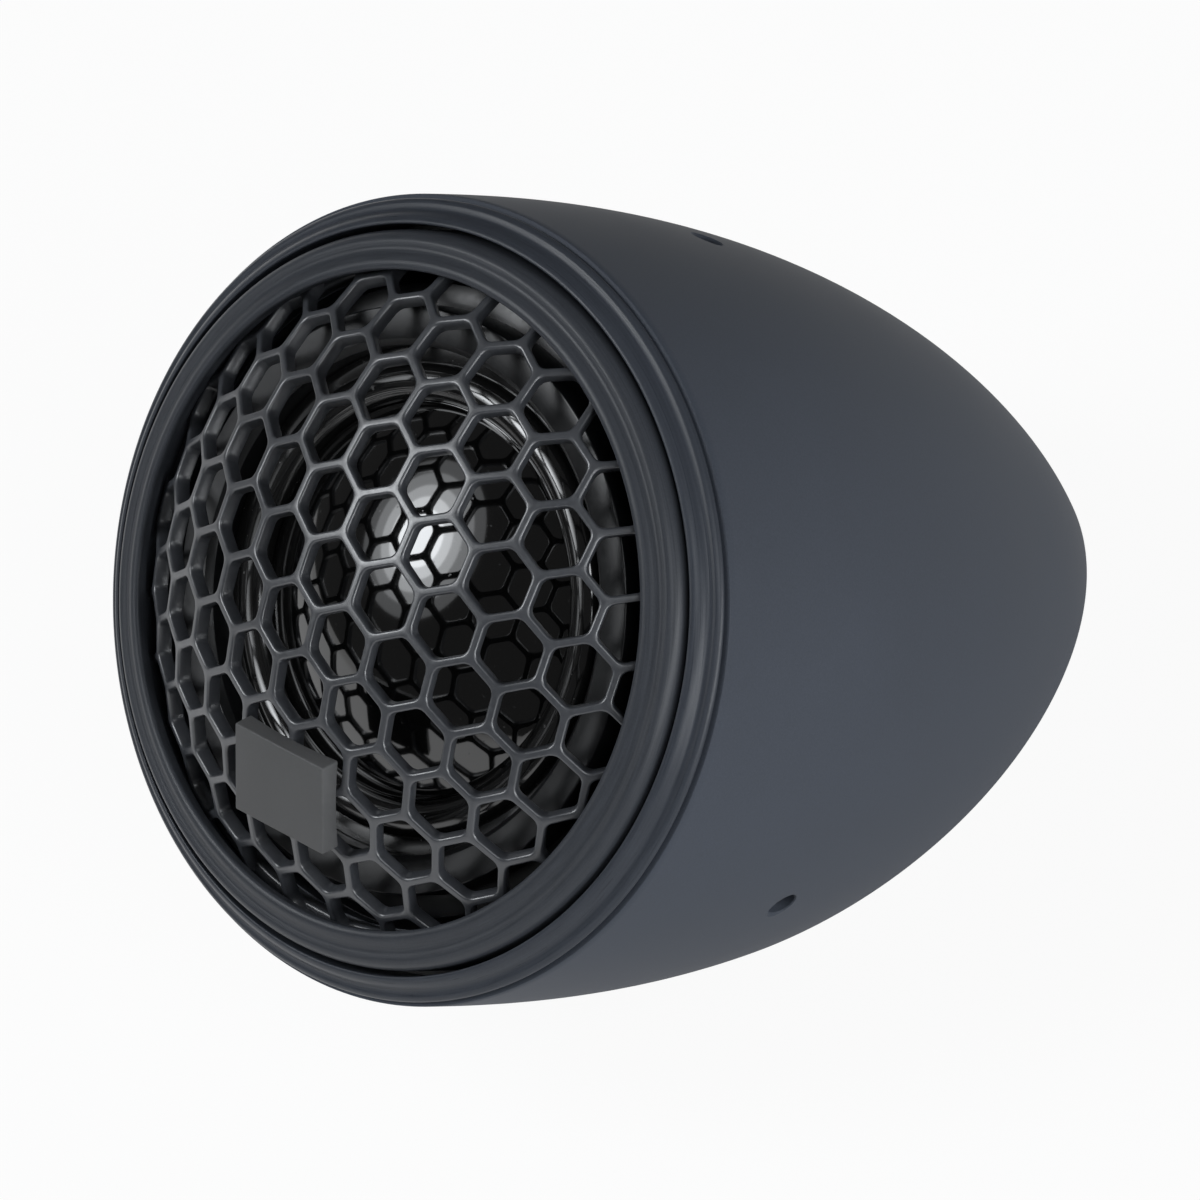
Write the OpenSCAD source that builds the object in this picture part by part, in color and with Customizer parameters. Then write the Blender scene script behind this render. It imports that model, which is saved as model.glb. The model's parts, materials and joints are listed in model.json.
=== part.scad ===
// Dome tweeter in a bullet-shaped surface-mount pod.
// Millimetres. The mounting surface is Z = 0, the sound axis leans forward over -Y,
// and the origin is the centre of the base plate.
// Pieces of the driver are drawn along their own axis: Z is the way the sound goes,
// Y is the top of the driver, and Z = 0 is the front edge of the pod.

/* [Pod] */
// Outer diameter of the pod at its front edge
pod_d = 58.8; // [56:0.2:72]
// Length of the bullet curve from the front edge to its virtual tip
pod_len = 72; // [66:1:90]
// Angle between the sound axis and the mounting surface
axis_tilt = 45; // [43:0.5:50]
// Height of the front edge's centre above the mounting surface
seam_height = 35.3; // [34.5:0.1:44]
// Wall of the pod behind the driver
pod_wall = 3.5; // [2.5:0.1:5]

/* [Front rings] */
// Radial width of the outer front ring
bezel_w = 2.2; // [1.8:0.1:3]
// How far the outer front ring stands forward of the pod's edge
bezel_rise = 2; // [1.2:0.05:3]
// Depth of the outer ring's spigot inside the pod
spigot_len = 3; // [2:0.1:4]
// Dark gap between the outer ring and the grille's ring
ring_gap = 0.4; // [0.3:0.05:0.8]
// Radial width of the grille's ring
trim_w = 2.9; // [2:0.1:3.5]
// How far the grille's ring stands forward of the pod's edge
trim_rise = 3.7; // [3:0.1:5]

/* [Grille] */
// Radius of the domed grille's outer surface
grille_dome_r = 36.1; // [35:0.1:48]
// Thickness of the grille's ribs, front to back
grille_t = 1.1; // [0.8:0.1:1.6]
// Distance between the honeycomb's cell centres, measured on the dome
cell_pitch = 5.23; // [4.8:0.05:8]
// Width of the honeycomb's ribs
rib_w = 0.65; // [0.5:0.05:1]
// Height of the middle row of cells above the axis
cell_offset = 2.16; // [0:0.01:2.6]
// Width of the blank badge
badge_w = 9; // [6:0.5:12]
// Height of the blank badge
badge_h = 7.3; // [5:0.1:9]
// How far the badge stands off the ribs
badge_t = 1.1; // [0.8:0.1:2]
// Distance of the badge's centre from the axis, measured on the dome
badge_drop = 14.4; // [13:0.1:16]

/* [Driver] */
// Outer diameter of the driver's housing
driver_d = 48; // [46:0.5:49]
// Clearance around the driver's housing in the pod
driver_gap = 0.2; // [0.1:0.05:0.4]
// Depth of the driver's housing behind the pod's front edge
driver_len = 21.5; // [21:0.1:22]
// Diameter of the voice coil's former, inside
coil_d = 27.5; // [24:0.1:28]
// Height of the dome above its flange
dome_h = 5; // [4:0.1:6]
// Thickness of the dome
dome_t = 0.25; // [0.2:0.05:0.4]
// Width of the surround's half roll
roll_w = 2.8; // [2.4:0.1:3]
// Length of the winding
winding_len = 3; // [2:0.1:3.4]
// Radial clearance between the coil and the steel around it
air_gap = 0.42; // [0.3:0.02:0.6]
// Radius of the vent through the motor
vent_r = 3; // [2:0.1:4]

/* [Fixings] */
// Distance of the three set screws behind the pod's front edge
screw_back = 20; // [19:0.1:20.4]
// Radius of the set screws and of their holes
set_screw_r = 1.1; // [0.9:0.05:1.25]
// How deep the set screws sit below the pod's surface
set_screw_sink = 0.9; // [0.5:0.1:1.5]
// Radius of the base plate
base_r = 17; // [15:0.1:17.5]
// Thickness of the base plate
base_t = 2.5; // [2:0.1:3]
// Minor radius of the M4 thread that holds the pod down
thread_r = 1.65; // [1.25:0.05:2]
// Radius of the cable's way through the grommet
cable_r = 1.5; // [1:0.1:1.8]

/* [Hidden] */
$fn = 96;

eps = 0.01;
fit_gap = 0.1;
pod_r = pod_d / 2;

// Shape of the bullet: r = pod_r * (1 - (depth / pod_len) ^ nose) ^ taper
nose = 2.25;
taper = 0.714;
profile_steps = 44;

// The base plate's centre lies in front of the point where the axis meets the base
foot_shift = 10;
seam_back = seam_height / tan(axis_tilt) - foot_shift;

// Outer ring and its seat in the pod
seam_gap = 0.15;
lip_r = pod_r - bezel_w;
spigot_r = pod_r - 1.4;

// Grille's ring
trim_r = lip_r - ring_gap;
trim_open_r = trim_r - trim_w;
ledge_top = -0.5;
groove_r = trim_open_r + 1;
groove_top = trim_rise - 1.1;
trim_bore_r = trim_open_r + 0.3;

// Domed grille: its centre is set by the height of its rim in the ring
rim_w = 0.85;
rim_top = 0.85;
rim_r = groove_r - 0.05;
grille_mid_r = grille_dome_r - grille_t / 2;
dome_centre = rim_top - 0.3 - sqrt(grille_mid_r ^ 2 - rim_r ^ 2);

// Driver's front plate
plate_r = spigot_r - 0.4;
plate_back = -spigot_len - 1.7;
plate_rise = 2;
gasket_t = 0.8;
ledge_z = plate_back - gasket_t;
housing_r = driver_d / 2;
bore_r = housing_r + driver_gap;
bore_end = -driver_len - 0.5;

// Moving parts
former_r = coil_d / 2;
former_t = 0.12;
winding_t = 0.43;
coil_r = former_r + former_t + winding_t;
flange_top = -0.2;
flange_t = 0.3;
dome_edge_r = former_r + 0.65;
dome_curve_r = (dome_edge_r ^ 2 + dome_h ^ 2) / (2 * dome_h);
roll_t = 0.2;
roll_mid_r = dome_edge_r + 0.05 + roll_w / 2;
roll_edge_r = roll_mid_r + roll_w / 2;
plate_bore_r = roll_edge_r + 0.1;
surround_seat_r = plate_bore_r + 1.1;

// Motor
gap_top = -5.2;
gap_len = 3;
gap_bottom = gap_top - gap_len;
magnet_t = 3.8;
yoke_floor_t = 3;
yoke_wall = 2.3;
cap_t = 0.12;
pole_r = former_r - air_gap + 0.02;
magnet_r = pole_r - 0.8;
yoke_bore_r = coil_r + air_gap;
yoke_r = yoke_bore_r + 1.4 + yoke_wall;
magnet_bottom = gap_bottom - magnet_t;
yoke_bottom = magnet_bottom - yoke_floor_t;
coil_mid = (gap_top + gap_bottom) / 2;

// Rear of the driver
chamber_top = yoke_bottom - 1.8;
chamber_wall = 2;
chamber_r = housing_r - chamber_wall;
cap_plate_t = 2;
cap_lip = 1.5;
cap_top = -driver_len + cap_plate_t;
board_l = 22;
board_w = 9;
board_t = 1.2;
tab_x = 5.5;
tab_w = 2.8;
tab_t = 0.5;
tab_len = 4.6;
rivet_x = 9;
rivet_r = 0.9;

// Base
floor_t = 6;
opening_r = base_r - 5;
base_gap = 0.1;
base_screw_pitch_r = base_r - 2.4;
base_screw_r = 1.1;
base_head_r = 2;
insert_r = 2.8;
insert_len = 5;
boss_r = insert_r + 1.1;
grommet_y = 8;
grommet_r = 3.6;
grommet_neck_r = 2.9;
grommet_lip = 0.9;
block_y = -7.6;
block_l = 10;
block_w = 5;
block_h = 6;
block_top = base_t + block_h;
block_screw_x = 2.5;

// Routes of the two inner leads, from the driver's tabs to the terminal block
lead_r = 0.6;
lead_gap = 0.1;
tab_end = -driver_len - board_t - tab_len;

// A point of the driver's axis frame in the pod's frame
function placed(p) = [
    p[0],
    -seam_back + p[1] * sin(axis_tilt) - p[2] * cos(axis_tilt),
    seam_height + p[1] * cos(axis_tilt) + p[2] * sin(axis_tilt)
];

function lead_route(side) = [
    placed([side * tab_x, 0, tab_end - lead_gap]),
    placed([side * tab_x, 0, tab_end - 1.4]),
    placed([side * tab_x, -1, tab_end - 2.6]),
    placed([side * (tab_x - 0.6), -2.6, tab_end - 3]),
    [side * (block_screw_x + 1.6), block_y + 4.2, block_top + 5],
    [side * (block_screw_x + 0.6), block_y + 2, block_top + 3.4],
    [side * block_screw_x, block_y + 0.3, block_top + 2.4],
    [side * block_screw_x, block_y, block_top + 0.7]
];

// Radius of the bullet at a depth behind the front edge
function bullet_r(depth) = pod_r * (1 - (depth / pod_len) ^ nose) ^ taper;

// A smooth curve through a route's points
function spline(p, i, t) =
    let (a = p[max(i - 1, 0)], b = p[i], c = p[i + 1], d = p[min(i + 2, len(p) - 1)])
    0.5 * (2 * b + (c - a) * t + (2 * a - 5 * b + 4 * c - d) * t ^ 2
           + (3 * b - a - 3 * c + d) * t ^ 3);
function smooth_route(p, steps) = concat(
    [for (i = [0:len(p) - 2], k = [0:steps - 1]) spline(p, i, k / steps)],
    [p[len(p) - 1]]
);
function unit(v) = v / norm(v);
function direction(p, i) = unit(p[min(i + 1, len(p) - 1)] - p[max(i - 1, 0)]);

// A round tube along a route, closed at both ends; side is any direction across it
module tube(route, r, side, sides = 8, steps = 3) {
    path = smooth_route(route, steps);
    rings = len(path);
    points = [
        for (i = [0:rings - 1])
            let (d = direction(path, i), u = unit(cross(d, side)), v = cross(d, u))
            for (k = [0:sides - 1])
                path[i] + r * (cos(360 * k / sides) * u + sin(360 * k / sides) * v)
    ];
    walls = [
        for (i = [0:rings - 2], k = [0:sides - 1])
            [i * sides + k, i * sides + (k + 1) % sides,
             (i + 1) * sides + (k + 1) % sides, (i + 1) * sides + k]
    ];
    start = [for (k = [0:sides - 1]) sides - 1 - k];
    end = [for (k = [0:sides - 1]) (rings - 1) * sides + k];
    polyhedron(points = points, faces = concat([start], walls, [end]), convexity = 4);
}

// Puts a driver piece on the sound axis
module on_axis() {
    translate([0, -seam_back, seam_height])
        rotate([90 - axis_tilt, 0, 0])
            children();
}

// A flat ring between two heights
module ring(outer, inner, low, high) {
    rotate_extrude()
        translate([inner, low])
            square([outer - inner, high - low]);
}

// A solid disc between two heights
module disc(r, low, high) {
    translate([0, 0, low])
        cylinder(r = r, h = high - low);
}

// Everything above a height of the mounting surface
module above(height) {
    translate([-100, -100, height])
        cube([200, 200, 200]);
}

// The bullet turned from its curve, drawn smaller by an inset
module bullet(inset, front_depth) {
    depth_end = pod_len * 0.93;
    rotate_extrude()
        polygon(concat(
            [[0, -front_depth]],
            [for (i = [0:profile_steps])
                let (depth = front_depth + (depth_end - front_depth) * i / profile_steps)
                [bullet_r(depth) - inset, -depth]],
            [[0, -depth_end]]
        ));
}

// Three copies around the sound axis, the first at the top
module around_axis() {
    for (turn = [0, 120, 240])
        rotate([0, 0, turn])
            children();
}

// Three copies around the base plate
module around_base() {
    for (turn = [30, 150, 270])
        rotate([0, 0, turn])
            translate([base_screw_pitch_r, 0, 0])
                children();
}

module pod_shell() color([0.17, 0.18, 0.20]) {
    difference() {
        intersection() {
            on_axis()
                bullet(0, 0);
            above(0);
        }
        on_axis() {
            disc(spigot_r + fit_gap, -spigot_len, eps);
            disc(plate_r + fit_gap, ledge_z, eps);
            disc(bore_r, bore_end, eps);
            around_axis()
                translate([0, bore_r - 1, -screw_back])
                    rotate([-90, 0, 0])
                        cylinder(r = set_screw_r, h = pod_r);
        }
        intersection() {
            on_axis()
                bullet(pod_wall, -bore_end - eps);
            above(floor_t);
        }
        translate([0, 0, -eps])
            cylinder(r = base_r + base_gap, h = base_t + eps);
        translate([0, 0, -eps])
            cylinder(r = opening_r, h = floor_t + 1);
        around_base()
            translate([0, 0, base_t - eps])
                cylinder(r = base_screw_r, h = floor_t - base_t - 0.4);
    }
}

module bezel_ring() color([0.16, 0.17, 0.19])
    on_axis()
        rotate_extrude()
            polygon([
                [lip_r, -spigot_len],
                [spigot_r, -spigot_len],
                [spigot_r, seam_gap],
                [pod_r - 0.35, seam_gap],
                [pod_r - 0.32, bezel_rise * 0.21],
                [pod_r - 0.5, bezel_rise * 0.31],
                [pod_r - 0.7, bezel_rise * 0.39],
                [pod_r - 1.15, bezel_rise * 0.5],
                [lip_r + 0.9, bezel_rise * 0.6],
                [lip_r + 0.75, bezel_rise * 0.73],
                [lip_r + 0.55, bezel_rise * 0.88],
                [lip_r + 0.3, bezel_rise * 0.98],
                [lip_r + 0.1, bezel_rise],
                [lip_r, bezel_rise * 0.93]
            ]);

module set_screws() color([0.12, 0.12, 0.13])
    on_axis()
        around_axis()
            translate([0, housing_r, -screw_back])
                rotate([-90, 0, 0])
                    difference() {
                        cylinder(r = set_screw_r, h = screw_length());
                        translate([0, 0, screw_length() - 1.2])
                            cylinder(r = 0.65, h = 2, $fn = 6);
                    }

function screw_length() = bullet_r(screw_back) - set_screw_sink - housing_r;

module trim_ring() color([0.14, 0.15, 0.16])
    on_axis()
        rotate_extrude()
            polygon([
                [trim_bore_r, -spigot_len],
                [trim_r, -spigot_len],
                [trim_r, trim_rise * 0.5],
                [trim_r - trim_w * 0.04, trim_rise * 0.66],
                [trim_r - trim_w * 0.12, trim_rise * 0.77],
                [trim_r - trim_w * 0.22, trim_rise * 0.83],
                [trim_r - trim_w * 0.48, trim_rise * 0.855],
                [trim_r - trim_w * 0.6, trim_rise * 0.9],
                [trim_r - trim_w * 0.72, trim_rise * 0.96],
                [trim_r - trim_w * 0.85, trim_rise],
                [trim_r - trim_w * 0.96, trim_rise * 0.98],
                [trim_open_r, trim_rise * 0.93],
                [trim_open_r, groove_top + 0.2],
                [groove_r, groove_top],
                [groove_r, ledge_top],
                [trim_open_r, ledge_top],
                [trim_open_r, ledge_top - 1],
                [trim_bore_r, ledge_top - 1.8]
            ]);

// One cell of the honeycomb, cut square to the dome at its place
module cell(x, y) {
    reach = norm([x, y]);
    lean = reach / grille_mid_r * 180 / PI;
    turn = atan2(y, x);
    shrink = reach > 0 ? (1 + sin(lean) / (lean * PI / 180)) / 2 : 1;
    cell_r = (cell_pitch * shrink - rib_w) / sqrt(3);
    translate([0, 0, dome_centre])
        rotate([0, 0, turn])
            rotate([0, lean, 0])
                rotate([0, 0, 30 - turn])
                    translate([0, 0, grille_dome_r - grille_t - 1.2])
                        cylinder(r = cell_r, h = grille_t + 2.4, $fn = 6);
}

module grille() color([0.10, 0.10, 0.11])
    on_axis() {
        row_step = cell_pitch * sqrt(3) / 2;
        reach_max = asin(rim_r / grille_mid_r) * PI / 180 * grille_mid_r + cell_pitch * 0.25;
        rows = ceil(reach_max / row_step) + 1;
        columns = ceil(reach_max / cell_pitch) + rows;
        difference() {
            intersection() {
                translate([0, 0, dome_centre])
                    sphere(r = grille_dome_r);
                disc(rim_r, ledge_top + 0.05, grille_dome_r);
            }
            translate([0, 0, dome_centre])
                sphere(r = grille_dome_r - grille_t);
            for (row = [-rows:rows], column = [-columns:columns]) {
                x = cell_pitch * (column + (row % 2) / 2);
                y = cell_offset + row_step * row;
                if (norm([x, y]) < reach_max)
                    cell(x, y);
            }
        }
        ring(rim_r, rim_r - rim_w, ledge_top + 0.05, rim_top);
    }

module badge() color([0.20, 0.20, 0.21])
    on_axis()
        translate([0, 0, dome_centre])
            rotate([badge_drop / grille_mid_r * 180 / PI, 0, 0])
                difference() {
                    translate([-badge_w / 2, -badge_h / 2, grille_dome_r - 0.7])
                        cube([badge_w, badge_h, badge_t + 0.7]);
                    sphere(r = grille_dome_r);
                }

module faceplate() color([0.07, 0.07, 0.08])
    on_axis()
        rotate_extrude()
            polygon([
                [plate_bore_r, plate_back],
                [plate_r, plate_back],
                [plate_r, -spigot_len],
                [trim_bore_r - 0.05, -spigot_len],
                [trim_bore_r - 0.85, -spigot_len + 0.8],
                [trim_bore_r - 1.25, -1],
                [surround_seat_r + 3.3, -0.7],
                [surround_seat_r + 2.9, -0.7],
                [surround_seat_r + 2.85, plate_rise - 0.2],
                [surround_seat_r + 2.65, plate_rise],
                [surround_seat_r + 0.5, plate_rise],
                [surround_seat_r, plate_rise - 0.5],
                [surround_seat_r, flange_top - roll_t],
                [plate_bore_r, flange_top - roll_t]
            ]);

module driver_gasket() color([0.05, 0.05, 0.05])
    on_axis()
        ring(plate_r, bore_r + 0.2, ledge_z, plate_back);

module surround() color([0.04, 0.04, 0.045])
    on_axis() {
        rotate_extrude()
            intersection() {
                translate([roll_mid_r, flange_top - roll_t])
                    difference() {
                        circle(r = roll_w / 2);
                        circle(r = roll_w / 2 - roll_t);
                    }
                translate([0, flange_top - roll_t])
                    square([roll_edge_r + 1, roll_w]);
            }
        ring(surround_seat_r - 0.05, roll_edge_r - roll_t, flange_top - roll_t, flange_top);
    }

module dome() color([0.04, 0.04, 0.05])
    on_axis() {
        difference() {
            translate([0, 0, flange_top + dome_h - dome_curve_r])
                sphere(r = dome_curve_r);
            translate([0, 0, flange_top + dome_h - dome_curve_r])
                sphere(r = dome_curve_r - dome_t);
            disc(dome_curve_r + 1, -2 * dome_curve_r, flange_top);
        }
        ring(dome_edge_r, former_r - 0.1, flange_top - flange_t, flange_top + 0.02);
    }

module coil_former() color([0.72, 0.62, 0.35])
    on_axis()
        ring(former_r + former_t, former_r, coil_mid - winding_len / 2 - 0.2,
             flange_top - flange_t);

module voice_coil() color([0.72, 0.38, 0.18])
    on_axis()
        ring(coil_r, former_r + former_t, coil_mid - winding_len / 2,
             coil_mid + winding_len / 2);

// Two short wires that carry the signal from the former to the front plate
module lead_out_wires() color([0.75, 0.45, 0.25])
    on_axis()
        for (turn = [0, 180])
            rotate([0, 0, turn])
                tube([
                    [former_r + former_t + 0.3, 0, -2.4],
                    [former_r + 1.1, 0.5, -2.8],
                    [plate_bore_r - 1, 0.8, -2.5],
                    [plate_bore_r - 0.1, 0.9, -2.2]
                ], 0.15, [0, 0, 1]);

module pole_felt() color([0.32, 0.32, 0.32])
    on_axis()
        ring(pole_r - 2, vent_r, gap_top + cap_t, gap_top + 2);

module copper_cap() color([0.72, 0.42, 0.26])
    on_axis() {
        ring(pole_r, vent_r, gap_top, gap_top + cap_t);
        ring(pole_r, pole_r - cap_t, gap_bottom, gap_top + eps);
    }

module pole_plate() color([0.55, 0.56, 0.57])
    on_axis()
        ring(pole_r - cap_t - 0.02, vent_r, gap_bottom, gap_top);

module magnet() color([0.62, 0.62, 0.64])
    on_axis()
        ring(magnet_r, vent_r, magnet_bottom, gap_bottom);

module yoke_cup() color([0.48, 0.49, 0.50])
    on_axis()
        rotate_extrude()
            polygon([
                [vent_r, yoke_bottom],
                [yoke_r, yoke_bottom],
                [yoke_r, gap_top],
                [yoke_bore_r, gap_top],
                [yoke_bore_r, gap_bottom],
                [yoke_r - yoke_wall, gap_bottom],
                [yoke_r - yoke_wall, magnet_bottom],
                [vent_r, magnet_bottom]
            ]);

module motor_housing() color([0.09, 0.09, 0.10])
    on_axis()
        rotate_extrude()
            polygon([
                [yoke_r + 0.05, yoke_bottom],
                [yoke_r + 0.05, plate_back],
                [housing_r, plate_back],
                [housing_r, -driver_len],
                [chamber_r, -driver_len],
                [chamber_r, chamber_top],
                [yoke_r - 2, chamber_top],
                [yoke_r - 2, yoke_bottom]
            ]);

module rear_cap() color([0.11, 0.11, 0.12])
    on_axis() {
        disc(chamber_r - 0.05, -driver_len, cap_top);
        ring(chamber_r - 0.05, chamber_r - 1.2, cap_top - eps, cap_top + cap_lip);
    }

module damping_felt() color([0.42, 0.42, 0.40])
    on_axis()
        disc(chamber_r - 1.4, cap_top, chamber_top - 0.3);

module terminal_board() color([0.45, 0.28, 0.14])
    on_axis()
        difference() {
            translate([-board_l / 2, -board_w / 2, -driver_len - board_t])
                cube([board_l, board_w, board_t]);
            for (side = [-1, 1])
                translate([side * rivet_x, 0, -driver_len - board_t - 1])
                    cylinder(r = rivet_r, h = board_t + 2);
        }

module terminal_rivets() color([0.78, 0.66, 0.36])
    on_axis()
        for (side = [-1, 1])
            translate([side * rivet_x, 0, 0]) {
                disc(rivet_r, -driver_len - board_t, -driver_len);
                disc(rivet_r + 0.7, -driver_len - board_t - 0.5, -driver_len - board_t);
            }

// A soldering tab with a foot on the board and a hole near its end
module terminal(side) {
    board_face = -driver_len - board_t;
    on_axis()
        translate([side * tab_x, 0, 0]) {
            translate([-tab_w / 2, -tab_t / 2, board_face - 0.5])
                cube([tab_w, 3, 0.5]);
            difference() {
                translate([-tab_w / 2, -tab_t / 2, tab_end])
                    cube([tab_w, tab_t, tab_len]);
                translate([0, 0, tab_end + 1.4])
                    rotate([90, 0, 0])
                        cylinder(r = 0.6, h = 4, center = true);
            }
        }
}

module terminal_positive() color([0.80, 0.68, 0.35]) terminal(1);

module terminal_negative() color([0.78, 0.79, 0.80]) terminal(-1);

module lead_positive() color([0.70, 0.10, 0.08]) tube(lead_route(1), lead_r, [1, 0, 0]);

module lead_negative() color([0.06, 0.06, 0.06]) tube(lead_route(-1), lead_r, [1, 0, 0]);

module base_plate() color([0.15, 0.16, 0.17])
    difference() {
        union() {
            cylinder(r = base_r, h = base_t);
            cylinder(r = boss_r, h = insert_len);
        }
        translate([0, 0, -1])
            cylinder(r = insert_r, h = insert_len + 2);
        translate([0, grommet_y, -1])
            cylinder(r = grommet_neck_r, h = base_t + 2);
        translate([0, grommet_y, -1])
            cylinder(r = grommet_r, h = grommet_lip + 1);
        around_base() {
            translate([0, 0, -1])
                cylinder(r = base_screw_r + 0.1, h = base_t + 2);
            translate([0, 0, -eps])
                cylinder(r1 = base_head_r + 0.15, r2 = base_screw_r + 0.1, h = base_head_r - base_screw_r + 0.05);
        }
    }

module base_screws() color([0.55, 0.56, 0.58])
    around_base()
        difference() {
            union() {
                translate([0, 0, 0.15])
                    cylinder(r1 = base_head_r - 0.1, r2 = base_screw_r, h = base_head_r - base_screw_r - 0.1);
                translate([0, 0, 0.15])
                    cylinder(r = base_screw_r - 0.02, h = floor_t - 0.9);
            }
            translate([0, 0, -1])
                cylinder(r = 0.6, h = 1.9, $fn = 6);
        }

module threaded_insert() color([0.78, 0.63, 0.30])
    ring(insert_r - 0.01, thread_r, 0, insert_len);

module cable_grommet() color([0.04, 0.04, 0.04])
    translate([0, grommet_y, 0])
        difference() {
            union() {
                disc(grommet_r - 0.05, 0.1, grommet_lip);
                disc(grommet_neck_r - 0.02, 0.1, base_t + 0.02);
                disc(grommet_r, base_t, base_t + 1.2);
            }
            disc(cable_r, -1, base_t + 3);
        }

module terminal_block() color([0.85, 0.85, 0.82])
    difference() {
        translate([-block_l / 2, block_y - block_w / 2, base_t])
            cube([block_l, block_w, block_h]);
        for (side = [-1, 1]) {
            translate([side * block_screw_x, block_y, base_t + 2.5])
                cylinder(r = 1.3, h = block_h);
            translate([side * block_screw_x, block_y, base_t + 1.6])
                rotate([90, 0, 0])
                    cylinder(r = 0.9, h = block_w + 2, center = true);
        }
    }

module block_screws() color([0.70, 0.70, 0.72])
    for (side = [-1, 1])
        translate([side * block_screw_x, block_y, base_t + 2.5])
            difference() {
                cylinder(r = 1.25, h = block_h - 2.3);
                translate([-2, -0.2, block_h - 2.9])
                    cube([4, 0.4, 2]);
            }

pod_shell();
bezel_ring();
set_screws();
trim_ring();
grille();
badge();
faceplate();
driver_gasket();
surround();
dome();
coil_former();
voice_coil();
lead_out_wires();
pole_felt();
copper_cap();
pole_plate();
magnet();
yoke_cup();
motor_housing();
rear_cap();
damping_felt();
terminal_board();
terminal_rivets();
terminal_positive();
terminal_negative();
lead_positive();
lead_negative();
base_plate();
base_screws();
threaded_insert();
cable_grommet();
terminal_block();
block_screws();
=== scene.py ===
"""Dome tweeter in a bullet-shaped pod: its looks, floor, light and camera.

Metres. The mounting surface is Z = 0 and the sound leaves forward and up, over -Y.
Front pieces are turned about the sound axis in the driver's own frame, where Z is the
way the sound goes and Z = 0 is the front edge of the pod, then laid on the sound axis.
"""

import json
import math

import bmesh
import bpy
from mathutils import Matrix, Vector


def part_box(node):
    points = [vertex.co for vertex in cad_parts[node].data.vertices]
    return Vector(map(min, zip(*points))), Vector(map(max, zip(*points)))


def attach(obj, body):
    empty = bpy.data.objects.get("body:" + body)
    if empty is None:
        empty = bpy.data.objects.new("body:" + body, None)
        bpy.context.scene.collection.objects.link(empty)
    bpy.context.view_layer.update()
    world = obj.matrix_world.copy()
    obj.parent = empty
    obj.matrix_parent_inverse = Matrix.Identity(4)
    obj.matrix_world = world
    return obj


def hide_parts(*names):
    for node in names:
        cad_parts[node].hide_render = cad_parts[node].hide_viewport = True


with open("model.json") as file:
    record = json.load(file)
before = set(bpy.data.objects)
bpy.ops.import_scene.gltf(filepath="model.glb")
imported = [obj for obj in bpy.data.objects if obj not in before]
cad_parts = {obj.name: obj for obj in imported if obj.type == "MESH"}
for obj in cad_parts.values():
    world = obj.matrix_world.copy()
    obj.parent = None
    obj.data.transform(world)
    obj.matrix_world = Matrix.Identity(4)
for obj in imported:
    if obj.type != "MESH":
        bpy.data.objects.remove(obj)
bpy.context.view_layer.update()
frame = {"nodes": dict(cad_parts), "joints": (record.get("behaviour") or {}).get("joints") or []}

MM = 0.001
SOUND_AXIS = Vector(frame["joints"][0]["axis"]).normalized()
TILT = math.acos(SOUND_AXIS.z)


def centre(node):
    low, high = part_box(node)
    return (low + high) / 2


def half_width(node):
    low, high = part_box(node)
    return (high.x - low.x) / 2


# The winding's middle lies this far behind the pod's front edge
COIL_DEPTH = 6.7 * MM
FRONT = centre("voice_coil") + SOUND_AXIS * COIL_DEPTH

POD_R = half_width("pod_shell")
TRIM_R = half_width("trim_ring")
RIM_R = half_width("grille")
DOME_EDGE_R = half_width("dome")


# ---------------------------------------------------------------- camera

LENS = 1003.8
CAMERA_DISTANCE = 2.419
LOOK_BACK = Vector((0.6028, -0.3690, 0.7075))
LOOK_UP = Vector((-0.3691, 0.6572, 0.6572))
AIM_RIGHT, AIM_UP = 13.05 * MM, 0.015 * MM


def set_camera():
    """A long lens before and above the pod on its +X side, rolled to lay the sound axis level."""
    back = LOOK_BACK.normalized()
    right = LOOK_UP.cross(back).normalized()
    up = back.cross(right)
    aim = FRONT + right * AIM_RIGHT + up * AIM_UP
    data = bpy.data.cameras.new("long_lens")
    data.sensor_width = 36
    data.lens = LENS
    data.clip_start = 0.5
    data.clip_end = 20
    camera = bpy.data.objects.new("camera", data)
    bpy.context.scene.collection.objects.link(camera)
    turn = Matrix((right, up, back)).transposed().to_4x4()
    camera.matrix_world = Matrix.Translation(aim + back * CAMERA_DISTANCE) @ turn
    bpy.context.scene.camera = camera


set_camera()


# ---------------------------------------------------------------- finishes

class Value:
    """A socket that takes part in sums: each sign adds a Math node."""

    def __init__(self, finish, socket):
        self.finish, self.socket = finish, socket

    def _math(self, operation, first, second):
        return self.finish.node("ShaderNodeMath", {"operation": operation}, {0: first, 1: second})

    def __add__(self, other):
        return self._math("ADD", self, other)

    def __radd__(self, other):
        return self._math("ADD", other, self)

    def __mul__(self, other):
        return self._math("MULTIPLY", self, other)

    def __rmul__(self, other):
        return self._math("MULTIPLY", other, self)

    def __pow__(self, other):
        return self._math("POWER", self, other)


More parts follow.
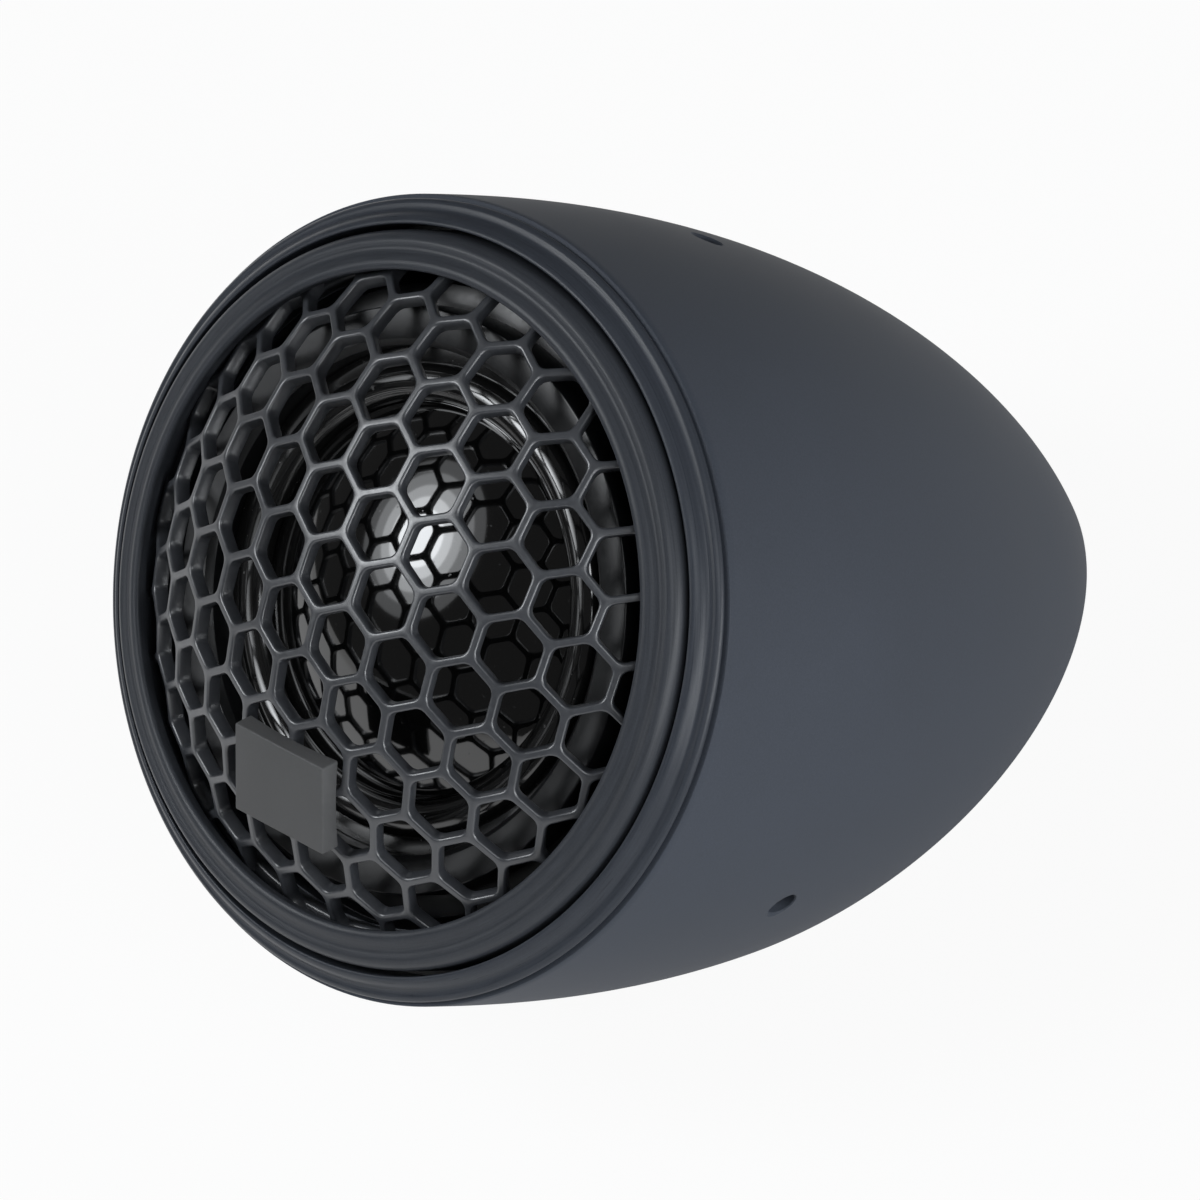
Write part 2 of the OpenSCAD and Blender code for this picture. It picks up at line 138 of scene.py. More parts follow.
class Finish:
    """A material, and the one way its nodes are made."""

    def __init__(self, name):
        self.material = bpy.data.materials.new(name)
        self.material.use_nodes = True
        self.tree = self.material.node_tree
        self.tree.nodes.clear()

    def node(self, kind, settings=None, inputs=None, output=0):
        node = self.tree.nodes.new(kind)
        for key, value in (settings or {}).items():
            if key == "stops":
                for stop, (position, colour) in zip(self._stops(node, len(value)), value):
                    stop.position, stop.color = position, colour
            else:
                setattr(node, key, value)
        for key, value in (inputs or {}).items():
            if isinstance(value, Value):
                self.tree.links.new(value.socket, node.inputs[key])
            else:
                node.inputs[key].default_value = value
        return Value(self, node.outputs[output])

    @staticmethod
    def _stops(node, count):
        elements = node.color_ramp.elements
        while len(elements) < count:
            elements.new(1)
        return elements

    def place(self):
        return self.node("ShaderNodeTexCoord", output="Object")

    def driver_place(self):
        """The place of a point in the driver's own frame."""
        return self.node("ShaderNodeMapping", {"vector_type": "TEXTURE"},
                         {"Vector": self.place(), "Location": FRONT, "Rotation": (TILT, 0, 0)})

    def split(self, vector):
        node = self.tree.nodes.new("ShaderNodeSeparateXYZ")
        self.tree.links.new(vector.socket, node.inputs[0])
        return [Value(self, socket) for socket in node.outputs]

    def join(self, x, y, z):
        return self.node("ShaderNodeCombineXYZ", None, {0: x, 1: y, 2: z})

    def noise(self, place, scale, detail=2.0, roughness=0.5):
        return self.node("ShaderNodeTexNoise", None, {
            "Vector": place, "Scale": scale, "Detail": detail, "Roughness": roughness})

    def between(self, share, low, high):
        return self.node("ShaderNodeMix", {"data_type": "RGBA"},
                         {0: share, 6: low, 7: high}, output=2)

    def limit(self, value, low, high, to_low=0.0, to_high=1.0):
        return self.node("ShaderNodeMapRange", None, {
            "Value": value, "From Min": low, "From Max": high,
            "To Min": to_low, "To Max": to_high})

    def relief(self, height, depth, strength=1.0):
        return self.node("ShaderNodeBump", None, {
            "Height": height, "Distance": depth, "Strength": strength})

    def surface(self, inputs):
        shader = self.node("ShaderNodeBsdfPrincipled", None, inputs)
        self.node_out(shader)
        return self.material

    def node_out(self, shader):
        out = self.tree.nodes.new("ShaderNodeOutputMaterial")
        self.tree.links.new(shader.socket, out.inputs["Surface"])


def grey(level, blue=0.0):
    """A neutral colour, cooler as blue grows."""
    return (level * (1 - blue), level * (1 - blue * 0.35), level * (1 + blue), 1)


def coated_metal(name, level, blue, roughness, grain=1.0):
    """Fine satin coating sprayed on metal: a tight grain and slow clouds in its tone."""
    f = Finish(name)
    place = f.place()
    fine = f.noise(place, 6500, 2)
    clouds = f.noise(place, 60, 3)
    tone = f.limit(fine * 0.6 + clouds * 0.4, 0.3, 0.7)
    return f.surface({
        "Base Color": f.between(tone, grey(level * 0.86, blue), grey(level * 1.14, blue)),
        "Roughness": f.limit(fine * 0.5 + clouds * 0.5, 0.3, 0.7,
                             roughness - 0.05, roughness + 0.05),
        "Normal": f.relief(fine, 0.012 * MM, 0.35 * grain),
        "Specular IOR Level": 0.14,
    })


def turned_metal(name, level, blue, roughness, mark=1.0):
    """The same coating over fine turning marks that run round the sound axis."""
    f = Finish(name)
    x, y, z = f.split(f.driver_place())
    radius = (x * x + y * y) ** 0.5
    marks = f.noise(f.join(radius * 9000, z * 9000, (x + y) * 260), 1.0, 2)
    fine = f.noise(f.place(), 6500, 2)
    tone = f.limit(marks * 0.65 + fine * 0.35, 0.3, 0.7)
    return f.surface({
        "Base Color": f.between(tone, grey(level * 0.82, blue), grey(level * 1.18, blue)),
        "Roughness": f.limit(marks, 0.3, 0.7, roughness - 0.06, roughness + 0.06),
        "Normal": f.relief(marks * 0.7 + fine * 0.3, 0.02 * MM, 0.5 * mark),
        "Specular IOR Level": 0.2,
    })


def moulded_plastic(name, level, blue, roughness, grain=1.0, specular=0.5):
    """Injection-moulded plastic: an even tone with a faint skin from the tool."""
    f = Finish(name)
    place = f.place()
    skin = f.noise(place, 2600, 3)
    flow = f.noise(place, 110, 2)
    tone = f.limit(skin * 0.4 + flow * 0.6, 0.3, 0.7)
    return f.surface({
        "Base Color": f.between(tone, grey(level * 0.85, blue), grey(level * 1.15, blue)),
        "Roughness": f.limit(skin, 0.3, 0.7, roughness - 0.04, roughness + 0.05),
        "Normal": f.relief(skin, 0.02 * MM, 0.3 * grain),
        "Specular IOR Level": specular,
    })


def gloss_film(name, level, blue, roughness, ior=1.6):
    """Polished black film, almost a mirror, with a few faint specks of dust."""
    f = Finish(name)
    place = f.place()
    specks = f.limit(f.noise(place, 2400, 1), 0.74, 0.78)
    swell = f.noise(place, 90, 2)
    return f.surface({
        "Base Color": f.between(specks, grey(level, blue), grey(level * 8, blue)),
        "Roughness": f.limit(swell, 0.3, 0.7, roughness * 0.7, roughness * 1.3) + specks * 0.2,
        "IOR": ior,
    })


def machined(name, colour, dark, roughness, scale=5200):
    """Bare or plated metal with fine marks from the lathe or the press."""
    f = Finish(name)
    x, y, z = f.split(f.place())
    marks = f.noise(f.join(x * 0.25, y, z), scale, 2)
    return f.surface({
        "Base Color": f.between(f.limit(marks, 0.3, 0.7), dark, colour),
        "Roughness": f.limit(marks, 0.3, 0.7, roughness - 0.06, roughness + 0.08),
        "Metallic": 1.0,
        "Normal": f.relief(marks, 0.01 * MM, 0.4),
    })


def pressed_felt(name, level):
    """Wool felt: matted fibres in light and dark grey."""
    f = Finish(name)
    place = f.place()
    fibres = f.noise(place, 3800, 5, 0.7)
    mat = f.noise(place, 700, 3)
    tone = f.limit(fibres * 0.7 + mat * 0.3, 0.32, 0.68)
    return f.surface({
        "Base Color": f.between(tone, grey(level * 0.55), grey(level * 1.4)),
        "Roughness": 0.95,
        "Normal": f.relief(fibres, 0.08 * MM, 0.8),
        "Sheen Weight": 0.3,
    })


def soft_rubber(name, colour, roughness):
    """Rubber, foam gasket or a wire's sleeve: matt, with a dusty bloom."""
    f = Finish(name)
    place = f.place()
    bloom = f.noise(place, 420, 4)
    pores = f.noise(place, 5200, 2)
    low = tuple(c * 0.8 for c in colour[:3]) + (1,)
    high = tuple(min(1, c * 1.25) for c in colour[:3]) + (1,)
    return f.surface({
        "Base Color": f.between(f.limit(bloom, 0.3, 0.7), low, high),
        "Roughness": f.limit(pores, 0.3, 0.7, roughness - 0.07, roughness + 0.07),
        "Normal": f.relief(pores, 0.02 * MM, 0.4),
    })


def phenolic_board(name):
    """Brown laminate board with the weave of its paper showing."""
    f = Finish(name)
    place = f.place()
    x, y, z = f.split(place)
    weave = f.noise(f.join(x * 5000, y * 1200, z * 1200), 1, 3)
    return f.surface({
        "Base Color": f.between(f.limit(weave, 0.3, 0.7), (0.20, 0.09, 0.035, 1),
                                (0.33, 0.17, 0.07, 1)),
        "Roughness": f.limit(weave, 0.3, 0.7, 0.4, 0.55),
        "Normal": f.relief(weave, 0.01 * MM, 0.4),
    })


# ---------------------------------------------------------------- making

def start_fresh():
    bpy.ops.object.select_all(action="DESELECT")


def pick(piece, wanted):
    """In edit mode, selects what lies wholly where wanted says."""
    mesh = bmesh.from_edit_mesh(piece.data)
    for vertex in mesh.verts:
        vertex.select = wanted(vertex.co)
    mesh.select_flush(True)
    mesh.select_flush(False)
    bmesh.update_edit_mesh(piece.data)


def tidy(piece, angle=32):
    """Merges doubled corners, turns the faces outward and smooths the shallow edges."""
    bpy.ops.object.mode_set(mode="EDIT")
    bpy.ops.mesh.select_all(action="SELECT")
    bpy.ops.mesh.remove_doubles(threshold=0.0002 * MM)
    bpy.ops.mesh.normals_make_consistent(inside=False)
    bpy.ops.object.mode_set(mode="OBJECT")
    bpy.ops.object.shade_smooth_by_angle(angle=math.radians(angle))
    return piece


def draw_out(radius, height, steps):
    """Extrudes the selected loop from point to point of an outline, all in millimetres."""
    for to_radius, to_height in steps:
        bpy.ops.mesh.extrude_edges_move(
            TRANSFORM_OT_translate={"value": (0, 0, (to_height - height) * MM)})
        size = to_radius / radius
        bpy.ops.transform.resize(value=(size, size, 1), center_override=(0, 0, 0))
        radius, height = to_radius, to_height


def turned(name, outline, sides=192, form="ring", angle=32):
    """A piece turned about Z from an outline in millimetres. A ring's outline closes on
    itself, and a plug's two ends are capped."""
    start_fresh()
    radius, height = outline[0]
    bpy.ops.mesh.primitive_circle_add(
        vertices=sides, radius=radius * MM, location=(0, 0, height * MM),
        fill_type="NGON" if form == "plug" else "NOTHING")
    piece = bpy.context.object
    piece.name = piece.data.name = name
    bpy.ops.object.transform_apply(location=True, rotation=True, scale=True)
    bpy.ops.object.mode_set(mode="EDIT")
    bpy.ops.mesh.select_all(action="SELECT")
    steps = outline[1:] + ([outline[0]] if form == "ring" else [])
    draw_out(radius, height, steps)
    if form == "plug":
        bpy.ops.mesh.edge_face_add()
    bpy.ops.object.mode_set(mode="OBJECT")
    return tidy(piece, angle)


def smooth(points, steps=4):
    """A smooth run through the points of an outline."""
    run = []
    for i in range(len(points) - 1):
        before, start = points[max(i - 1, 0)], points[i]
        end, after = points[i + 1], points[min(i + 2, len(points) - 1)]
        for k in range(steps):
            t = k / steps
            run.append(tuple(
                0.5 * (2 * b + (c - a) * t + (2 * a - 5 * b + 4 * c - d) * t ** 2
                       + (3 * b - a - 3 * c + d) * t ** 3)
                for a, b, c, d in zip(before, start, end, after)))
    return run + [points[-1]]


def arc(centre_r, centre_z, radius, start, end, steps):
    """Points of a round edge, its angles in degrees from the outward direction."""
    angles = [math.radians(start + (end - start) * i / steps) for i in range(steps + 1)]
    return [(centre_r + radius * math.cos(a), centre_z + radius * math.sin(a)) for a in angles]


def put(piece, place, turn=(0, 0, 0)):
    """Turns the piece, sets it down at a place, and leaves both in its mesh."""
    start_fresh()
    piece.select_set(True)
    bpy.context.view_layer.objects.active = piece
    piece.location = place
    piece.rotation_euler = turn
    bpy.ops.object.transform_apply(location=True, rotation=True, scale=True)
    return piece


def on_axis(piece):
    return put(piece, FRONT, (TILT, 0, 0))


def combine(piece, tools, operation):
    """Cuts, trims or joins with the tools, which are used up."""
    for tool in tools:
        start_fresh()
        bpy.context.view_layer.objects.active = piece
        piece.select_set(True)
        step = piece.modifiers.new("combine", "BOOLEAN")
        step.operation, step.object, step.solver = operation, tool, "MANIFOLD"
        bpy.ops.object.modifier_apply(modifier=step.name)
        bpy.data.objects.remove(tool)
    return piece


def cut_flat(piece, height):
    """Slices a closed piece level, keeps what is above and closes the cut."""
    start_fresh()
    bpy.context.view_layer.objects.active = piece
    bpy.ops.object.mode_set(mode="EDIT")
    bpy.ops.mesh.select_all(action="SELECT")
    bpy.ops.mesh.bisect(plane_co=(0, 0, height), plane_no=(0, 0, 1), use_fill=True,
                        threshold=1e-7, clear_inner=True)
    bpy.ops.object.mode_set(mode="OBJECT")
    return piece


def finished(piece, body, node, material):
    """Gives the piece its finish, sets it on the body it rides on, and hides the CAD node it
    stands in for.
    """
    piece.data.materials.clear()
    piece.data.materials.append(material)
    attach(piece, body)
    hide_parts(node)
    return piece


# ---------------------------------------------------------------- pod

POD_CURVE_LEN = 72
NOSE, TAPER = 2.25, 0.714
SPIGOT_R = 28.0
PLATE_R = 27.6
BORE_R = 24.2
BORE_END = -22
WALL = 3.5
SCREW_BACK = 20
SCREW_R = 1.1
BASE_R = 17
BASE_T = 2.5
FLOOR_T = 6


def bullet(depth):
    """The pod's radius at a depth behind its front edge."""
    return POD_R / MM * (1 - (depth / POD_CURVE_LEN) ** NOSE) ** TAPER


def bullet_run(first, last, steps, inset=0.0):
    depths = [first + (last - first) * i / steps for i in range(steps + 1)]
    return [(bullet(d) - inset, -d) for d in depths]


def pod_shell():
    """The bullet with its flat base, the driver's seat and bore, and the wiring room."""
    tail = POD_CURVE_LEN * 0.93
    outer = [(bullet(0) - 0.22, 0), (bullet(0) - 0.06, -0.07)] + bullet_run(0.22, tail, 110)
    shell = cut_flat(on_axis(turned("pod_shell_skin", outer, 256, "plug")), 0)
    seat = turned("seat", [(SPIGOT_R + 0.1, 1), (SPIGOT_R + 0.1, -3), (PLATE_R + 0.1, -3),
                           (PLATE_R + 0.1, -5.5), (BORE_R, -5.5), (BORE_R, BORE_END)],
                  192, "plug")
    room = turned("room", bullet_run(-BORE_END - 0.1, tail, 40, WALL), 128, "plug")
    room = cut_flat(on_axis(room), FLOOR_T * MM)
    recess = turned("recess", [(BASE_R + 0.1, -1), (BASE_R + 0.1, BASE_T),
                               (BASE_R - 5, BASE_T), (BASE_R - 5, FLOOR_T + 1)], 128, "plug")
    holes = []
    mouth = bullet(SCREW_BACK)
    for turn in (0, 120, 240):
        hole = turned("hole", [(SCREW_R, BORE_R - 1), (SCREW_R, mouth - 0.25),
                               (SCREW_R + 0.15, mouth - 0.05), (SCREW_R + 0.9, mouth + 0.7)],
                      48, "plug")
        put(hole, (0, 0, -SCREW_BACK * MM), (-math.pi / 2, 0, 0))
        put(hole, (0, 0, 0), (0, 0, math.radians(turn)))
        holes.append(on_axis(hole))
    combine(shell, [on_axis(seat), room, recess] + holes, "DIFFERENCE")
    return tidy(shell, 25)


def bezel_ring():
    """The outer ring: a lip inside, then two soft beads that step down to the seam."""
    outline = [(27.2, -3), (SPIGOT_R, -3), (SPIGOT_R, 0.15), (28.98, 0.15)]
    outline += smooth([(29.05, 0.2), (29.08, 0.36), (28.98, 0.58), (28.76, 0.78), (28.5, 0.84),
                       (28.28, 0.94), (28.12, 1.16), (27.96, 1.46), (27.74, 1.76),
                       (27.5, 1.95), (27.32, 1.99), (27.23, 1.94), (27.2, 1.82)], 5)
    return on_axis(turned("bezel_ring_turned", outline, 256))


def trim_ring():
    """The grille's ring: two soft beads on top and a snap groove behind the inner lip."""
    outer = TRIM_R / MM
    inner = outer - 2.9
    outline = [(inner + 0.3, -3), (outer, -3)]
    outline += smooth([(outer, 1.5), (outer - 0.04, 2.05), (outer - 0.18, 2.5),
                       (outer - 0.42, 2.86), (outer - 0.72, 3.07), (outer - 1.02, 3.1),
                       (outer - 1.34, 3.09), (outer - 1.62, 3.22), (outer - 1.92, 3.46),
                       (outer - 2.22, 3.65), (outer - 2.5, 3.7), (outer - 2.74, 3.64),
                       (outer - 2.87, 3.5), (inner, 3.3)], 5)
    outline += [(inner, 2.8), (inner + 1, 2.6), (inner + 1, -0.5), (inner, -0.5),
                (inner, -1.5), (inner + 0.3, -2.3)]
    return on_axis(turned("trim_ring_turned", outline, 256))


# ---------------------------------------------------------------- grille

GRILLE_R = 36.1
GRILLE_T = 1.1
# Where the middle of the ribs meets the rim, from the pod's front edge
RIBS_END = 0.55
GRILLE_CENTRE = RIBS_END - math.sqrt((GRILLE_R - GRILLE_T / 2) ** 2 - (RIM_R / MM) ** 2)
PITCH = 5.23
RIB = 0.65
ROW = PITCH * math.sqrt(3) / 2
CELL_OFFSET = 2.16
FRONT_ROUND, BACK_ROUND = 0.2, 0.12
HALF_ROWS = 6
RIM_LOW, RIM_TOP, RIM_W = -0.45, 0.85, 0.85


def grille_cell():
    """One hole with round front and back edges, inside its six-sided share of the ribs."""
    hole = (PITCH - RIB) / math.sqrt(3)
    share = PITCH / math.sqrt(3)
    per_side = 2 / math.sqrt(3)
    front = hole + FRONT_ROUND * per_side
    start_fresh()
    bpy.ops.mesh.primitive_circle_add(vertices=6, radius=front * MM, fill_type="NGON")
    cell = bpy.context.object
    cell.name = cell.data.name = "grille_ribs"
    bpy.ops.object.mode_set(mode="EDIT")
    bpy.ops.mesh.select_all(action="SELECT")
    bpy.ops.mesh.bevel(offset=0.5 * MM, segments=3, affect="VERTICES", clamp_overlap=False)
    bpy.ops.mesh.select_all(action="SELECT")
    bpy.ops.mesh.delete(type="ONLY_FACE")
    bpy.ops.mesh.primitive_circle_add(vertices=6, radius=share * MM)
    bpy.ops.mesh.select_all(action="SELECT")
    bpy.ops.mesh.bridge_edge_loops()
    inside = front * 1.01 * MM
    pick(cell, lambda co: co.length < inside)
    wall = [(hole + FRONT_ROUND * (1 - math.sin(a)) * per_side,
             -FRONT_ROUND * (1 - math.cos(a))) for a in map(math.radians, (30, 60, 90))]
    wall += [(hole + BACK_ROUND * (1 - math.cos(a)) * per_side,
              -GRILLE_T + BACK_ROUND * (1 - math.sin(a))) for a in map(math.radians, (0, 45, 90))]
    draw_out(front, 0, wall)
    bpy.ops.mesh.primitive_circle_add(vertices=6, radius=share * MM,
                                      location=(0, 0, -GRILLE_T * MM))
    low = (-GRILLE_T + 0.001) * MM
    pick(cell, lambda co: co.z < low)
    bpy.ops.mesh.bridge_edge_loops()
    bpy.ops.mesh.select_all(action="SELECT")
    bpy.ops.transform.translate(
        value=(-HALF_ROWS * PITCH * MM, (CELL_OFFSET - HALF_ROWS * ROW) * MM, 0))
    bpy.ops.mesh.duplicate_move(
        TRANSFORM_OT_translate={"value": (PITCH / 2 * MM, ROW * MM, 0)})
    bpy.ops.object.mode_set(mode="OBJECT")
    return cell


def wrap_on_dome(piece):
    """Lays the flat honeycomb on its dome, so that every row keeps its length."""
    bend_r = (GRILLE_R - GRILLE_T / 2) * MM
    for vertex in piece.data.vertices:
        x, y, height = vertex.co
        reach = math.hypot(x, y)
        lean = reach / bend_r
        radius = GRILLE_R * MM + height
        out = radius * math.sin(lean) / reach if reach else 0
        vertex.co = (x * out, y * out, GRILLE_CENTRE * MM + radius * math.cos(lean))


def grille():
    """The honeycomb: one cell repeated, laid on its dome, trimmed round and rimmed."""
    ribs = grille_cell()
    for count, offset in ((2 * HALF_ROWS + 1, (PITCH * MM, 0, 0)),
                          (HALF_ROWS + 1, (0, 2 * ROW * MM, 0))):
        step = ribs.modifiers.new("repeat", "ARRAY")
        step.count, step.use_relative_offset, step.use_constant_offset = count, False, True
        step.constant_offset_displace = offset
        bpy.ops.object.modifier_apply(modifier=step.name)
    bpy.ops.object.mode_set(mode="EDIT")
    bpy.ops.mesh.select_all(action="SELECT")
    bpy.ops.mesh.remove_doubles(threshold=0.01 * MM)
    bpy.ops.mesh.select_all(action="DESELECT")
    bpy.ops.mesh.select_non_manifold()
    bpy.ops.mesh.bridge_edge_loops()
    bpy.ops.object.mode_set(mode="OBJECT")
    wrap_on_dome(ribs)
    tidy(ribs)
    rim = RIM_R / MM
    disc = turned("disc", [(rim - 0.1, -0.3), (rim - 0.1, 20)], 192, "plug")
    combine(ribs, [disc], "INTERSECT")
    ring = turned("rim", [(rim, RIM_LOW), (rim, RIM_TOP - 0.1), (rim - 0.1, RIM_TOP)]
                  + arc(rim - RIM_W + 0.25, RIM_TOP - 0.25, 0.25, 90, 180, 4)
                  + [(rim - RIM_W, RIM_LOW)], 192)
    combine(ribs, [ring], "UNION")
    return on_axis(tidy(ribs, 40))


BADGE_W, BADGE_H, BADGE_T = 9.0, 7.3, 1.1
BADGE_DROP = 14.4


def badge():
    """The blank badge: a thin plate with soft edges, its back hollowed to the ribs' dome."""
    start_fresh()
    bpy.ops.mesh.primitive_cube_add(size=1, scale=(BADGE_W * MM, BADGE_H * MM, 2 * MM),
                                    location=(0, 0, (GRILLE_R + BADGE_T - 1) * MM))
    plate = bpy.context.object
    plate.name = plate.data.name = "badge_plate"
    bpy.ops.object.transform_apply(location=True, rotation=True, scale=True)
    bpy.ops.object.mode_set(mode="EDIT")
    bpy.ops.mesh.select_all(action="SELECT")
    bpy.ops.mesh.bevel(offset=0.16 * MM, segments=3, affect="EDGES")
    bpy.ops.object.mode_set(mode="OBJECT")
    hollow = turned("hollow", [(0.5, GRILLE_R - 3), (9, GRILLE_R - 3)]
                    + arc(0, 0, GRILLE_R, 76, 89.5, 12), 96, "plug")
    combine(plate, [hollow], "DIFFERENCE")
    tidy(plate, 40)
    lean = BADGE_DROP / (GRILLE_R - GRILLE_T / 2)
    put(plate, (0, 0, GRILLE_CENTRE * MM), (lean, 0, 0))
    return on_axis(plate)


# ---------------------------------------------------------------- driver

def faceplate():
    """The stepped front plate: its rebate, a slope and the raised ring round the surround."""
    outline = [(17.35, -4.7), (PLATE_R, -4.7), (PLATE_R, -3), (24.15, -3), (23.35, -2.2),
               (22.95, -1.0), (21.75, -0.7), (21.35, -0.7)]
    outline += arc(21.15, 1.85, 0.15, 0, 90, 4) + [(18.98, 2.0)]
    outline += arc(18.98, 1.9, 0.1, 90, 140, 2) + arc(18.55, 1.5, 0.1, 140, 180, 2)
    outline += [(18.45, -0.4), (17.35, -0.4)]
    return on_axis(turned("faceplate_stepped", outline, 192))


def surround():
    """The half roll between dome and faceplate, a thin skin with a flat foot outside."""
    mid_r, roll, skin, foot = 15.85, 1.4, 0.2, -0.4
    outline = arc(mid_r, foot, roll, 180, 8, 22)
    outline += [(17.32, -0.19), (18.4, -0.2), (18.4, foot), (17.05, foot)]
    outline += arc(mid_r, foot, roll - skin, 0, 180, 22)
    return on_axis(turned("surround_roll", outline, 192))


def dome():
    """The diaphragm's shallow dome, a thin skin that ends in a short collar."""
    edge, rise, skin = DOME_EDGE_R / MM, 5.0, 0.25
    curve_r = (edge ** 2 + rise ** 2) / (2 * rise)
    middle = -0.2 + rise - curve_r
    rim_angle = math.degrees(math.acos(edge / curve_r))
    outline = arc(0, middle, curve_r, 89.8, rim_angle + 0.6, 48)
    outline += [(edge - 0.05, -0.18), (edge, -0.19), (edge, -0.5), (13.65, -0.5)]
    outline += arc(0, middle, curve_r - skin, rim_angle + 1.5, 89.8, 32)
    return on_axis(turned("dome_skin", outline, 192, "plug"))


# ---------------------------------------------------------------- assembly

COATING = coated_metal("satin_coating", 0.060, 0.18, 0.56)
RING_METAL = turned_metal("turned_coating", 0.046, 0.16, 0.33)
TRIM_METAL = turned_metal("turned_coating_inner", 0.046, 0.12, 0.36)
GRILLE_PLASTIC = moulded_plastic("grille_plastic", 0.046, 0.10, 0.34, 0.35, 1.0)
BADGE_PLASTIC = moulded_plastic("badge_plastic", 0.075, 0.01, 0.60)
BLACK_PLASTIC = moulded_plastic("black_plastic", 0.006, 0.1, 0.34, 0.06, 0.5)
GLOSS_BLACK = gloss_film("gloss_black", 0.002, 0.0, 0.06, 1.85)
ROLL_SKIN = gloss_film("roll_skin", 0.006, 0.0, 0.14, 1.8)
BLACK_RUBBER = soft_rubber("black_rubber", (0.02, 0.02, 0.02, 1), 0.65)
BLACK_STEEL = machined("blackened_steel", (0.10, 0.10, 0.11, 1), (0.05, 0.05, 0.055, 1), 0.4)
BRIGHT_STEEL = machined("zinc_plated_steel", (0.58, 0.59, 0.60, 1), (0.44, 0.45, 0.46, 1), 0.3)
COPPER = machined("copper", (0.80, 0.40, 0.24, 1), (0.62, 0.28, 0.15, 1), 0.3)
BRASS = machined("brass", (0.78, 0.58, 0.26, 1), (0.62, 0.44, 0.18, 1), 0.3)
NICKEL = machined("nickel_plated_magnet", (0.64, 0.63, 0.60, 1), (0.52, 0.51, 0.49, 1), 0.22)
POLYIMIDE = moulded_plastic("former_film", 0.30, -0.35, 0.3)
GREY_FELT = pressed_felt("grey_felt", 0.16)
BLOCK_NYLON = moulded_plastic("white_nylon", 0.66, 0.0, 0.45)
LAMINATE = phenolic_board("brown_laminate")
RED_SLEEVE = soft_rubber("red_sleeve", (0.42, 0.02, 0.015, 1), 0.45)
BLACK_SLEEVE = soft_rubber("black_sleeve", (0.018, 0.018, 0.018, 1), 0.45)

finished(pod_shell(), "root", "pod_shell", COATING)
finished(bezel_ring(), "root", "bezel_ring", RING_METAL)
finished(trim_ring(), "root", "trim_ring", TRIM_METAL)
finished(grille(), "root", "grille", GRILLE_PLASTIC)
finished(badge(), "root", "badge", BADGE_PLASTIC)
finished(faceplate(), "root", "faceplate", BLACK_PLASTIC)
finished(surround(), "root", "surround", ROLL_SKIN)
finished(dome(), "diaphragm", "dome", GLOSS_BLACK)

KEPT_NODES = {
    "set_screws": BLACK_STEEL, "driver_gasket": BLACK_RUBBER, "coil_former": POLYIMIDE,
    "voice_coil": COPPER, "lead_out_wires": COPPER, "pole_felt": GREY_FELT,
    "copper_cap": COPPER, "pole_plate": BRIGHT_STEEL, "magnet": NICKEL,
    "yoke_cup": BRIGHT_STEEL, "motor_housing": BLACK_PLASTIC, "rear_cap": BLACK_PLASTIC,
    "damping_felt": GREY_FELT, "terminal_board": LAMINATE, "terminal_rivets": BRASS,
    "terminal_positive": BRASS, "terminal_negative": BRIGHT_STEEL,
    "lead_positive": RED_SLEEVE, "lead_negative": BLACK_SLEEVE, "base_plate": COATING,
    "base_screws": BRIGHT_STEEL, "threaded_insert": BRASS, "cable_grommet": BLACK_RUBBER,
    "terminal_block": BLOCK_NYLON, "block_screws": BRIGHT_STEEL,
}
for node, material in KEPT_NODES.items():
    for place in frame["nodes"][node].material_slots:
        place.material = material


# ---------------------------------------------------------------- studio

SEEN_WHITE, MIRRORED_WHITE = 0.94, 0.65
ROOM_LIGHT = 0.07
COOL = (0.94, 0.97, 1)
KEY_DIRECTION = (-0.483, -0.493, 0.724)
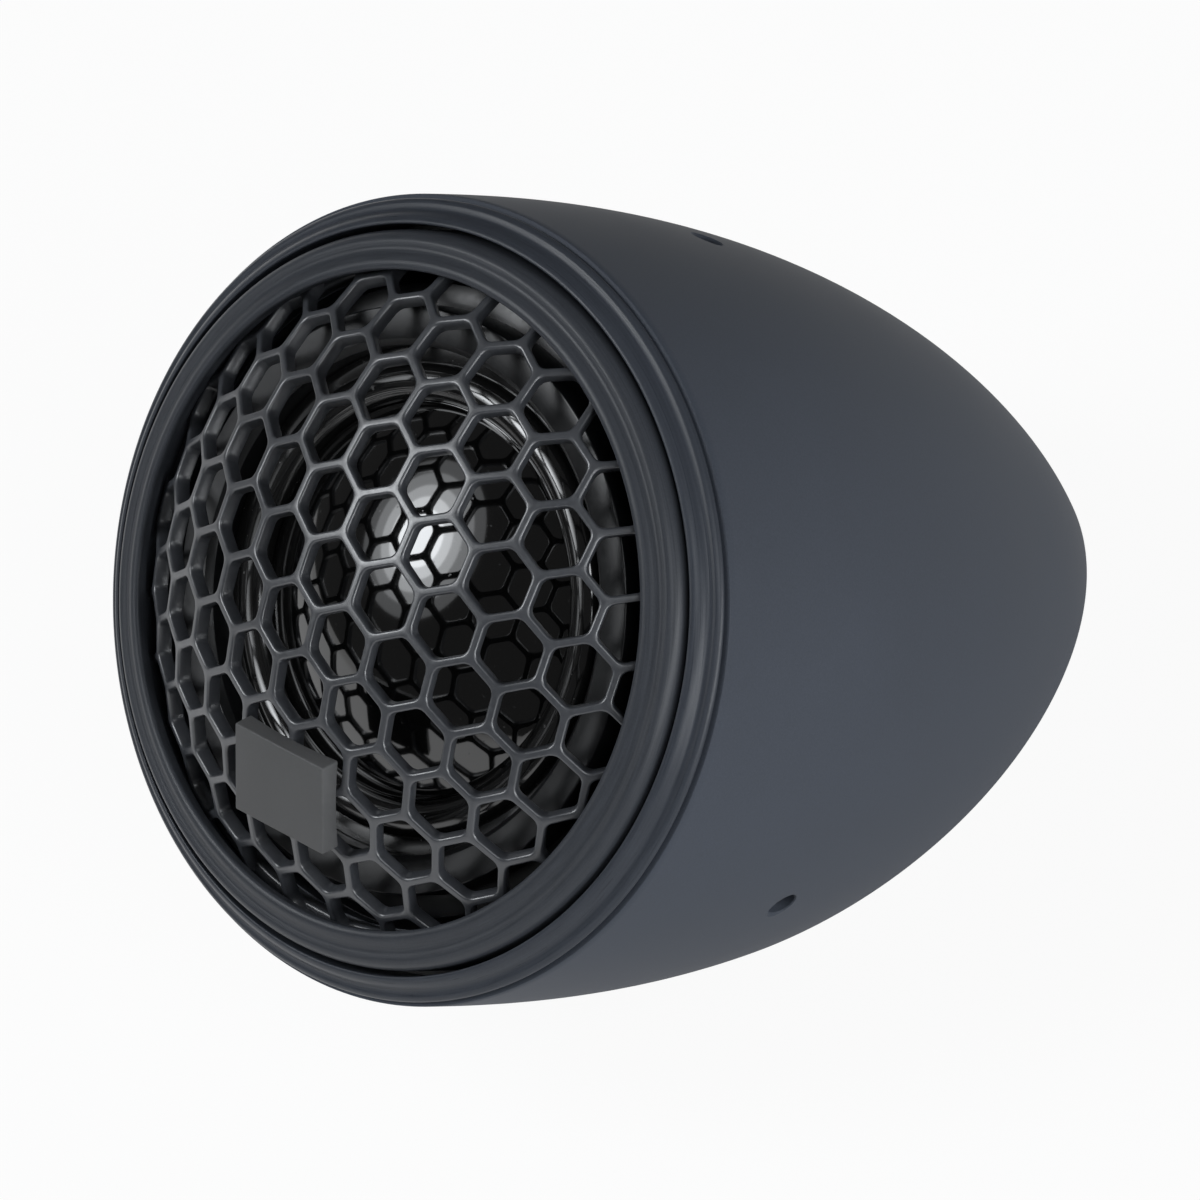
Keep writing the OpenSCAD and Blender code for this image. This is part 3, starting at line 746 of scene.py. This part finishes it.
# The key's nested round panels, as metres across and watts: brightest in the middle, so
# that its picture in the dome fades out
KEY_PANELS = ((0.74, 0.9), (0.60, 0.9), (0.48, 0.95), (0.37, 0.85), (0.26, 0.6))


def white_floor():
    """A pale floor that shows as white and keeps the pod's shadow."""
    start_fresh()
    bpy.ops.mesh.primitive_plane_add(size=12, location=(0, 0, -0.05 * MM))
    floor = bpy.context.object
    floor.name = "floor"
    f = Finish("white_floor")
    camera, glossy, through = (f.node("ShaderNodeLightPath", output=name) for name in (
        "Is Camera Ray", "Is Glossy Ray", "Is Transmission Ray"))
    share = camera * SEEN_WHITE + (glossy + through) * MIRRORED_WHITE
    paper = f.node("ShaderNodeBsdfDiffuse", None, {"Color": (0.8, 0.8, 0.8, 1)})
    glow = f.node("ShaderNodeEmission", None, {"Color": (1, 1, 1, 1), "Strength": 1.0})
    f.node_out(f.node("ShaderNodeMixShader", None, {0: share, 1: paper, 2: glow}))
    floor.data.materials.append(f.material)


def softbox(name, direction, distance, width, height, power, tint, shape="RECTANGLE"):
    """A lamp panel that looks at the pod from a direction."""
    data = bpy.data.lights.new(name, "AREA")
    data.shape, data.size, data.size_y = shape, width, height
    data.energy, data.color = power, tint
    lamp = bpy.data.objects.new(name, data)
    bpy.context.scene.collection.objects.link(lamp)
    toward = Vector(direction).normalized()
    lamp.location = FRONT + toward * distance
    lamp.rotation_euler = toward.to_track_quat("Z", "Y").to_euler()


white_floor()
for width, power in KEY_PANELS:
    softbox(f"key_{width * 100:.0f}", KEY_DIRECTION, 0.8 - width * 0.02,
            width, width, power, COOL, "DISK")
softbox("side_softbox", (0.995, 0.046, 0.093), 1.0, 0.9, 0.3, 8, COOL)
softbox("front_softbox", (0.72, -0.12, 0.68), 1.1, 0.35, 0.35, 2.4, COOL)

world = bpy.data.worlds.new("dim_room")
world.use_nodes = True
background = world.node_tree.nodes["Background"]
background.inputs["Color"].default_value = (1, 1, 1, 1)
background.inputs["Strength"].default_value = ROOM_LIGHT
bpy.context.scene.world = world
bpy.context.scene.view_settings.view_transform = "Standard"
